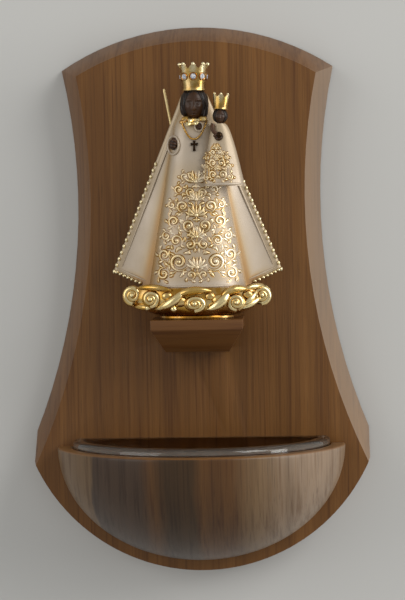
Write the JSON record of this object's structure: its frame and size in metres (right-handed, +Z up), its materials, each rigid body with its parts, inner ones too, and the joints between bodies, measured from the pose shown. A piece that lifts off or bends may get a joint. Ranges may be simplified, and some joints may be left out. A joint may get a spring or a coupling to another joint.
{
  "type": "holy water stoup",
  "caption": "Wall-hung walnut holy water stoup: waisted bevelled board, half-round bowl with lift-out clear insert, and a crowned mother and child figure standing on a bracket.",
  "frame": {"origin": "on the board's back face, at the middle of the board's height and width", "axes": "+Z up, +Y out of the back face into the wall, so the front faces -Y; +X to the viewer's right"},
  "size_m": [0.136, 0.074, 0.22],
  "materials": {
    "walnut": "oiled satin, long straight grain",
    "clear_glass": "clear, polished",
    "screw_steel": "zinc plated",
    "gold": "polished gilt with amber recesses",
    "champagne": "satin ivory-champagne",
    "dark_enamel": "satin dark brown",
    "dark_metal": "oxidised",
    "crystal": "cut, polished"
  },
  "bodies": {
    "stoup": {"backboard": "walnut", "bowl": "walnut", "figure_bracket": "walnut", "bowl_screw_left": "screw_steel", "bowl_screw_right": "screw_steel", "bracket_screw_left": "screw_steel", "bracket_screw_right": "screw_steel", "figure_screw": "screw_steel", "figure_foot": "gold", "cloud_base": "gold", "robe": "champagne", "child_dress": "champagne", "mother_head": "dark_enamel", "mother_hand": "dark_enamel", "child_head": "dark_enamel", "child_orb_hand": "dark_enamel", "child_blessing_hand": "dark_enamel", "mother_crown": "gold", "child_crown": "gold", "sceptre": "gold", "necklace": "gold", "pendant_cross": "dark_metal", "crown_stone_1": "crystal", "crown_stone_2": "crystal", "crown_stone_3": "crystal", "crown_stone_4": "crystal", "crown_stone_5": "crystal", "crown_stone_6": "crystal", "crown_stone_7": "crystal", "crown_stone_8": "crystal"},
    "insert": {"water_insert": "clear_glass"}
  },
  "joints": [
    {"name": "insert_lift", "type": "slide", "parent": "stoup", "child": "insert", "axis": [0, 0, 1], "range_m": [0, 0.032]}
  ]
}
